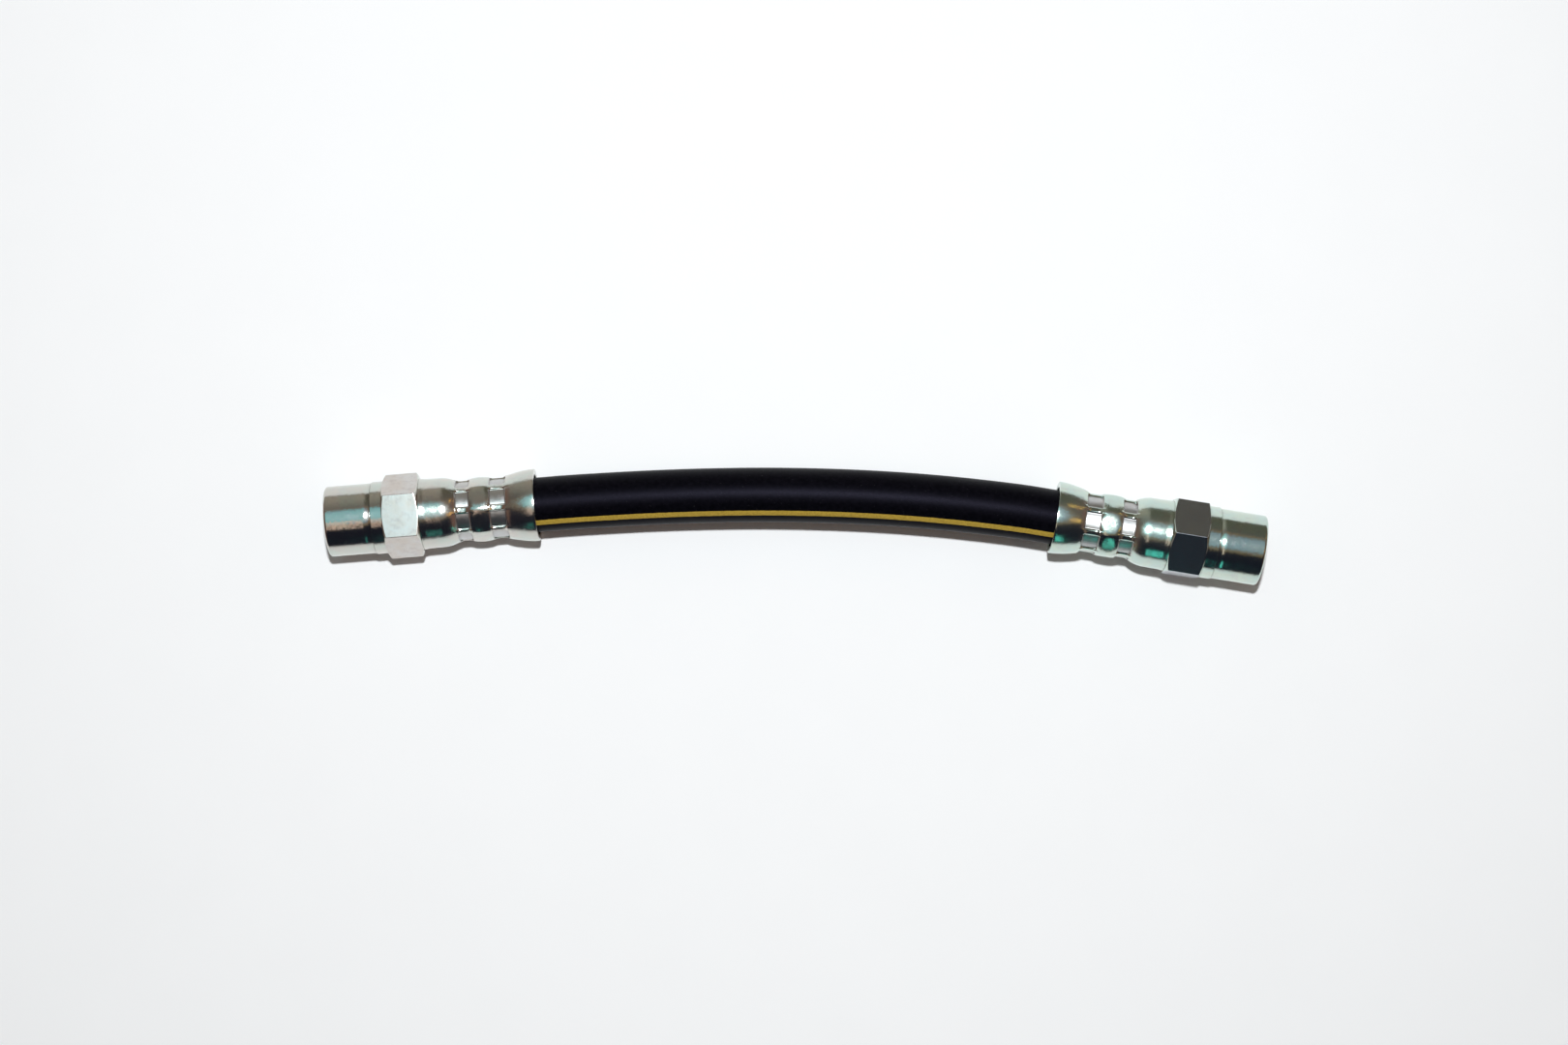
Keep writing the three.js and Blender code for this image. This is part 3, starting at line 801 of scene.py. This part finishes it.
    plain(SHELL_FLOOR, SOCKET_RADIUS)
    plain(SOCKET_START, SOCKET_RADIUS)
    plain(SOCKET_START, DRILLING_RADIUS)
    seat_end = PORT_DEPTH + (PORT_RADIUS - DRILLING_RADIUS) / SEAT_SLOPE
    plain(seat_end, DRILLING_RADIUS)
    plain(PORT_DEPTH, PORT_RADIUS)
    for x in np.arange(THREAD_START, PORT_CHAMFER, -THREAD_PITCH / RINGS_A_PITCH):
        phase = (x / THREAD_PITCH + over_hexagon / 360) % 1.0
        groove = np.clip((0.5 - np.abs(phase - 0.5)) * THREAD_FLANK - THREAD_CREST, 0, 1)
        depth = THREAD_DEPTH * groove * (1 - float(ease(x, *THREAD_RUN_OUT)))
        lead_in = PORT_RADIUS + PORT_CHAMFER - x + 0.1
        rings.append((even * x, np.maximum(PORT_RADIUS + depth, lead_in), over_hexagon))
    plain(0.04, PORT_RADIUS + PORT_CHAMFER)
    return rings


def fitting_mesh(name, rings, place):
    """The fitting as one closed skin. Its uv map is in millimetres, round it and along its axis."""
    sides = len(rings[0][0])
    vertices = []
    for x, radius, angles in rings:
        turn = np.radians(angles)
        vertices.append(np.stack([x, radius * np.sin(turn), radius * np.cos(turn)], 1))
    vertices = np.concatenate(vertices)
    starts = [i * sides for i in range(len(rings))] + [0]
    faces = ring_faces(starts, sides)
    mm_per_degree = 2 * math.pi * NOSE_RADIUS / 360
    uvs = []
    for (x0, _, a0), (x1, _, a1) in zip(rings, rings[1:] + rings[:1]):
        for j in range(sides):
            k = (j + 1) % sides
            wrap = 360 if k == 0 else 0
            uvs.append((a0[j] * mm_per_degree, x0[j]))
            uvs.append((a1[j] * mm_per_degree, x1[j]))
            uvs.append(((a1[k] + wrap) * mm_per_degree, x1[k]))
            uvs.append(((a0[k] + wrap) * mm_per_degree, x0[k]))
    piece = mesh_piece(name, (vertices * MM).tolist(), faces, uvs)
    piece.data.transform(place)
    piece.data.set_sharp_from_angle(angle=math.radians(FITTING_CRISP_ANGLE))
    return piece


def zinc_finish(name, tint, other_tint, kind):
    """Zinc plating under a thin clear passivation, which tints it unevenly. The turned faces
    glitter with fine crystals, the drawn flats carry marks across the bar, and the dents are
    dulled by the jaws. Narrow corners and the edges of the dents are darkened in colour, as
    painted shade."""
    finish = Finish(name, 0.14, metallic=1.0)
    body = finish.place()
    broad = finish.noise(body, 0.28, detail=2.0, roughness=0.6)
    colour = finish.ramp(broad, (0.38, tint), (0.64, other_tint))
    stain = finish.noise(finish.place(scale=(1.0, 1.0, 1.4)), 0.9, detail=4.0, roughness=0.65)
    smudge = FLATS_SMUDGE if kind == "flats" else TURNED_SMUDGE
    colour = finish.mix(finish.ramp(stain, (0.52, 0.0), (0.70, 0.55)), colour, smudge)
    # Painted shade: the colour is darkened in narrow corners and along the edges of the dents, by how
    # closed in each point is
    painted_crevice_shade = finish.ramp(finish.crevices(CREVICE_REACH), (0.45, 0.75), (0.85, 0.0))
    finish.colour(finish.mix(painted_crevice_shade, colour, CREVICE_PAINTED_SHADE))
    if kind == "flats":
        marks = finish.noise(finish.place(scale=(0.22, 6.0, 1.0), uv=True), 1.0, detail=4.0)
        finish.rough(finish.ramp(marks, (0.3, 0.222), (0.7, 0.24)))
        relief = finish.bump(marks, 0.004, 0.10)
    elif kind == "pressed":
        finish.rough(finish.ramp(stain, (0.35, 0.28), (0.7, 0.38)))
        scuffs = finish.noise(finish.place(scale=(3.0, 0.5, 1.0), uv=True), 1.0, detail=4.0)
        relief = finish.bump(scuffs, 0.02, 0.5)
    else:
        smooth, dull, tilt = (0.12, 0.16, 0.085) if kind == "turned" else (0.165, 0.205, 0.10)
        finish.rough(finish.ramp(stain, (0.35, smooth), (0.7, dull)))
        relief = finish.bump(finish.noise(body, 0.7, detail=1.0), 0.03, 0.13)
        patches = finish.ramp(finish.noise(body, 1.1, detail=3.0), (0.36, 0.025), (0.64, tilt))
        relief = finish.facets(body, 7.5, patches, relief)
    finish.surface(relief)
    return finish.material


for side_name, fitting in FITTINGS.items():
    wear = np.random.default_rng(fitting["wear"])
    spread = wear.normal(0, 1, (JAWS, 2, 4)) * JAW_SPREAD
    spread = np.clip(spread, -JAW_SPREAD_LIMIT, JAW_SPREAD_LIMIT)
    rings = fitting_rings(fitting["hexagon"], fitting["crimp"], spread)
    place = fitting["place"]
    body = fitting_mesh(side_name + "_crimped_fitting", rings, place)
    coats = {
        "turned": fitting["zinc"],
        "flats": fitting["flats"],
        "pressed": PRESSED_ZINC,
        "shell": fitting["zinc"],
    }
    for kind, colours in coats.items():
        body.data.materials.append(zinc_finish(side_name + "_zinc_" + kind, *colours, kind))
    order = list(coats)
    inverse = place.inverted()
    for face in body.data.polygons:
        centre = inverse @ face.center / MM
        from_axis = math.hypot(centre.y, centre.z)
        on_hexagon = HEX_START < centre.x < SHELL_START and from_axis > COLLAR_RADIUS
        square = abs((inverse.to_3x3() @ face.normal).normalized().x) < 0.01
        angle = math.degrees(math.atan2(centre.y, centre.z)) - fitting["crimp"]
        off_dent = abs((angle + 180 / JAWS) % (360 / JAWS) - 180 / JAWS)
        in_row = any(start < centre.x < end for start, end in (FIRST_ROW, SECOND_ROW))
        if on_hexagon and square:
            face.material_index = order.index("flats")
        elif in_row and off_dent < HALF_DENT and from_axis > ROW_EDGE_RADIUS - SHELL_WALL:
            face.material_index = order.index("pressed")
        elif centre.x > SHELL_START:
            face.material_index = order.index("shell")
    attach(body, "root")
    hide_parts(side_name + "_fitting")

# Ground
# A sheet of plain white paper that the hose lies on. It reaches so far out that no edge of it
# shows from the sides.
PAPER_REACH = 8.0
PAPER_LEVEL = -0.02 * MM
PAPER_WHITE = (0.93, 0.935, 0.945)

paper = mesh_piece(
    "paper",
    [(x * PAPER_REACH, y * PAPER_REACH, PAPER_LEVEL) for x, y in ((-1, -1), (1, -1), (1, 1), (-1, 1))],
    [(0, 1, 2, 3)],
)
paper_finish = Finish("paper", 0.9, specular=0.2)
paper_fibre = paper_finish.noise(paper_finish.place(), 0.05, detail=3.0)
paper_finish.colour(
    paper_finish.ramp(paper_fibre, (0.3, PAPER_WHITE), (0.7, tuple(c * 1.01 for c in PAPER_WHITE)))
)
paper.data.materials.append(paper_finish.material)

# Light
# One small lamp stands above the hose and a little behind it, in a pale glow with a warm rim.
# The room is dark in front, dim brown behind and red-brown at the sides, with a warm lamp in
# front to the left and two gold ones to the right. The bright metal reflects them all.
LAMP_HEIGHT = 0.62
LAMP_LEAN = 0.19
LAMP_SIZE = 0.028
LAMP_POWER = 3.60
LAMP_COLOUR = (0.945, 0.975, 0.99)

# The glow round the lamp, with the degrees over which it fades into its rim, and the rim into
# the room
LEFT_GLOW = (0.30, 0.60, 0.65)
RIGHT_GLOW = (0.27, 0.33, 0.39)
GLOW_FADE = (21, 28)
RIM = (0.24, 0.165, 0.105)
RIM_FADE = (30, 38)
RAMP_DEGREES = 60

# The room's colours, and the shares of the dome's width and depth over which they change
ROOM_FRONT = (0.012, 0.013, 0.022)
ROOM_BEHIND = (0.115, 0.105, 0.095)
LOW_LEFT = (0.36, 0.33, 0.28)
LOW_RIGHT = (0.12, 0.11, 0.08)
SIDE_WALLS = (0.205, 0.12, 0.095)
MIDDLE = (-0.1, 0.1)
DEPTH = (-0.3, 1.0)
WALLS_START = (0.5, 0.7)

# Each small lamp's limits from left to right and from front to back
WARM_LAMP = (0.95, 0.70, 0.58)
WARM_LAMP_PLACES = [((-0.22, -0.118), (-0.50, -0.07))]
GOLD_LAMP = (1.3, 0.72, 0.20)
GOLD_LAMP_PLACES = [((0.42, 0.58), (-0.16, 0.0)), ((0.44, 0.58), (0.57, 0.65))]

lamp_data = bpy.data.lights.new("key_lamp", "AREA")
lamp_data.shape = "DISK"
lamp_data.size = LAMP_SIZE
lamp_data.energy = LAMP_POWER
lamp_data.color = LAMP_COLOUR
lamp = bpy.data.objects.new("key_lamp", lamp_data)
lamp.location = (0.0, LAMP_LEAN * LAMP_HEIGHT, LAMP_HEIGHT)
lamp.rotation_euler = (-math.atan(LAMP_LEAN), 0, 0)
bpy.context.collection.objects.link(lamp)

# Narrow upright turquoise panes stand in front of the bulges, and show in the metal alone. Each
# has its place across and its width
PANE_COLOUR = (0.16, 1.0, 0.82)
PANE_RADIANCE = 0.85
PANE_HEIGHT = 0.068
PANE_MIDDLE = (-0.152, 0.066)
PANES = ((0.0565, 0.020), (-0.0775, 0.002), (-0.0735, 0.002))

for number, (across, width) in enumerate(PANES, start=1):
    pane_data = bpy.data.lights.new(f"pane_{number}", "AREA")
    pane_data.shape = "RECTANGLE"
    pane_data.size = width
    pane_data.size_y = PANE_HEIGHT
    pane_data.energy = PANE_RADIANCE * math.pi * width * PANE_HEIGHT
    pane_data.color = PANE_COLOUR
    pane = bpy.data.objects.new(f"pane_{number}", pane_data)
    pane.location = (across, *PANE_MIDDLE)
    pane.rotation_euler = (math.radians(90), 0, 0)
    pane.visible_camera = False
    pane.visible_diffuse = False
    bpy.context.collection.objects.link(pane)

world = bpy.data.worlds.new("dome")
bpy.context.scene.world = world
world.use_nodes = True
dome = NodeTree(world.node_tree)
sky_direction = dome.nodes.new("ShaderNodeTexCoord").outputs["Generated"]
sky_parts = dome.nodes.new("ShaderNodeSeparateXYZ")
dome.link(sky_direction, sky_parts.inputs["Vector"])


def dome_range(value, low, high):
    """0 below low, 1 above high, and a straight rise between."""
    node = dome.nodes.new("ShaderNodeMapRange")
    node.inputs["From Min"].default_value = low
    node.inputs["From Max"].default_value = high
    dome.link(value, node.inputs["Value"])
    return node.outputs["Result"]


left_to_right = dome_range(sky_parts.outputs["X"], *MIDDLE)
front_to_back = dome_range(sky_parts.outputs["Y"], *DEPTH)
left_room = dome.ramp(front_to_back, (0.0, ROOM_FRONT), (0.6, ROOM_BEHIND), (0.96, LOW_LEFT))
right_room = dome.ramp(front_to_back, (0.0, ROOM_FRONT), (0.6, ROOM_BEHIND), (0.96, LOW_RIGHT))
room = dome.mix(left_to_right, left_room, right_room)

lamp_direction = Vector((0.0, LAMP_LEAN, 1.0)).normalized()
toward_lamp = dome.vector_math("DOT_PRODUCT", sky_direction, tuple(lamp_direction))
off_lamp = dome.math("ARCCOSINE", toward_lamp.outputs["Value"])
off_lamp = dome.math("MULTIPLY", off_lamp, 1 / math.radians(RAMP_DEGREES))
glow_end, rim_start = (angle / RAMP_DEGREES for angle in GLOW_FADE)
rim_end, room_start = (angle / RAMP_DEGREES for angle in RIM_FADE)
glow = dome.mix(left_to_right, LEFT_GLOW, RIGHT_GLOW)
glow_share = dome.ramp(off_lamp, (0.0, 1.0), (glow_end, 1.0), (rim_start, 0.0))
rim_stops = ((glow_end, 0.0), (rim_start, RIM), (rim_end, RIM), (room_start, 0.0))
rim = dome.ramp(off_lamp, *rim_stops)
dome_colour = dome.mix(1.0, room, dome.mix(glow_share, rim, glow), blend="LIGHTEN")
aside = dome.math("ABSOLUTE", sky_parts.outputs["X"])
dome_colour = dome.mix(dome_range(aside, *WALLS_START), dome_colour, SIDE_WALLS)


def dome_patch(across, along):
    """1 inside a patch of the dome between two limits across and two along it, and 0 outside."""
    inside = 1.0
    for value, (low, high) in ((sky_parts.outputs["X"], across), (sky_parts.outputs["Y"], along)):
        off_middle = dome.math("ABSOLUTE", dome.math("SUBTRACT", value, (low + high) / 2))
        inside = dome.math("MULTIPLY", dome.math("LESS_THAN", off_middle, (high - low) / 2), inside)
    return dome.math("MULTIPLY", inside, dome.math("GREATER_THAN", sky_parts.outputs["Z"], 0.0))


for colour, places in ((WARM_LAMP, WARM_LAMP_PLACES), (GOLD_LAMP, GOLD_LAMP_PLACES)):
    for place in places:
        dome_colour = dome.mix(dome_patch(*place), dome_colour, colour)
dome.link(dome_colour, dome.nodes["Background"].inputs["Color"])

# Camera
# It looks straight down, from about half a metre above the middle of the hose. At the height of
# the hose it takes in as much as the photograph does.
CAMERA_HEIGHT = 0.54
CAMERA_OVER = (-0.00227, 0.00081)
PHOTO_WIDTH = 1620
PIXELS_A_MM = 5.376
FIELD_WIDTH = PHOTO_WIDTH / PIXELS_A_MM * MM
HEIGHT_OF_HOSE = 7 * MM
SENSOR_WIDTH = 36.0

camera_data = bpy.data.cameras.new("camera")
camera_data.sensor_width = SENSOR_WIDTH
camera_data.lens = SENSOR_WIDTH * (CAMERA_HEIGHT - HEIGHT_OF_HOSE) / FIELD_WIDTH
camera = bpy.data.objects.new("camera", camera_data)
camera.location = (*CAMERA_OVER, CAMERA_HEIGHT)
bpy.context.collection.objects.link(camera)
bpy.context.scene.camera = camera
bpy.context.scene.view_settings.view_transform = "Standard"

bpy.context.view_layer.update()
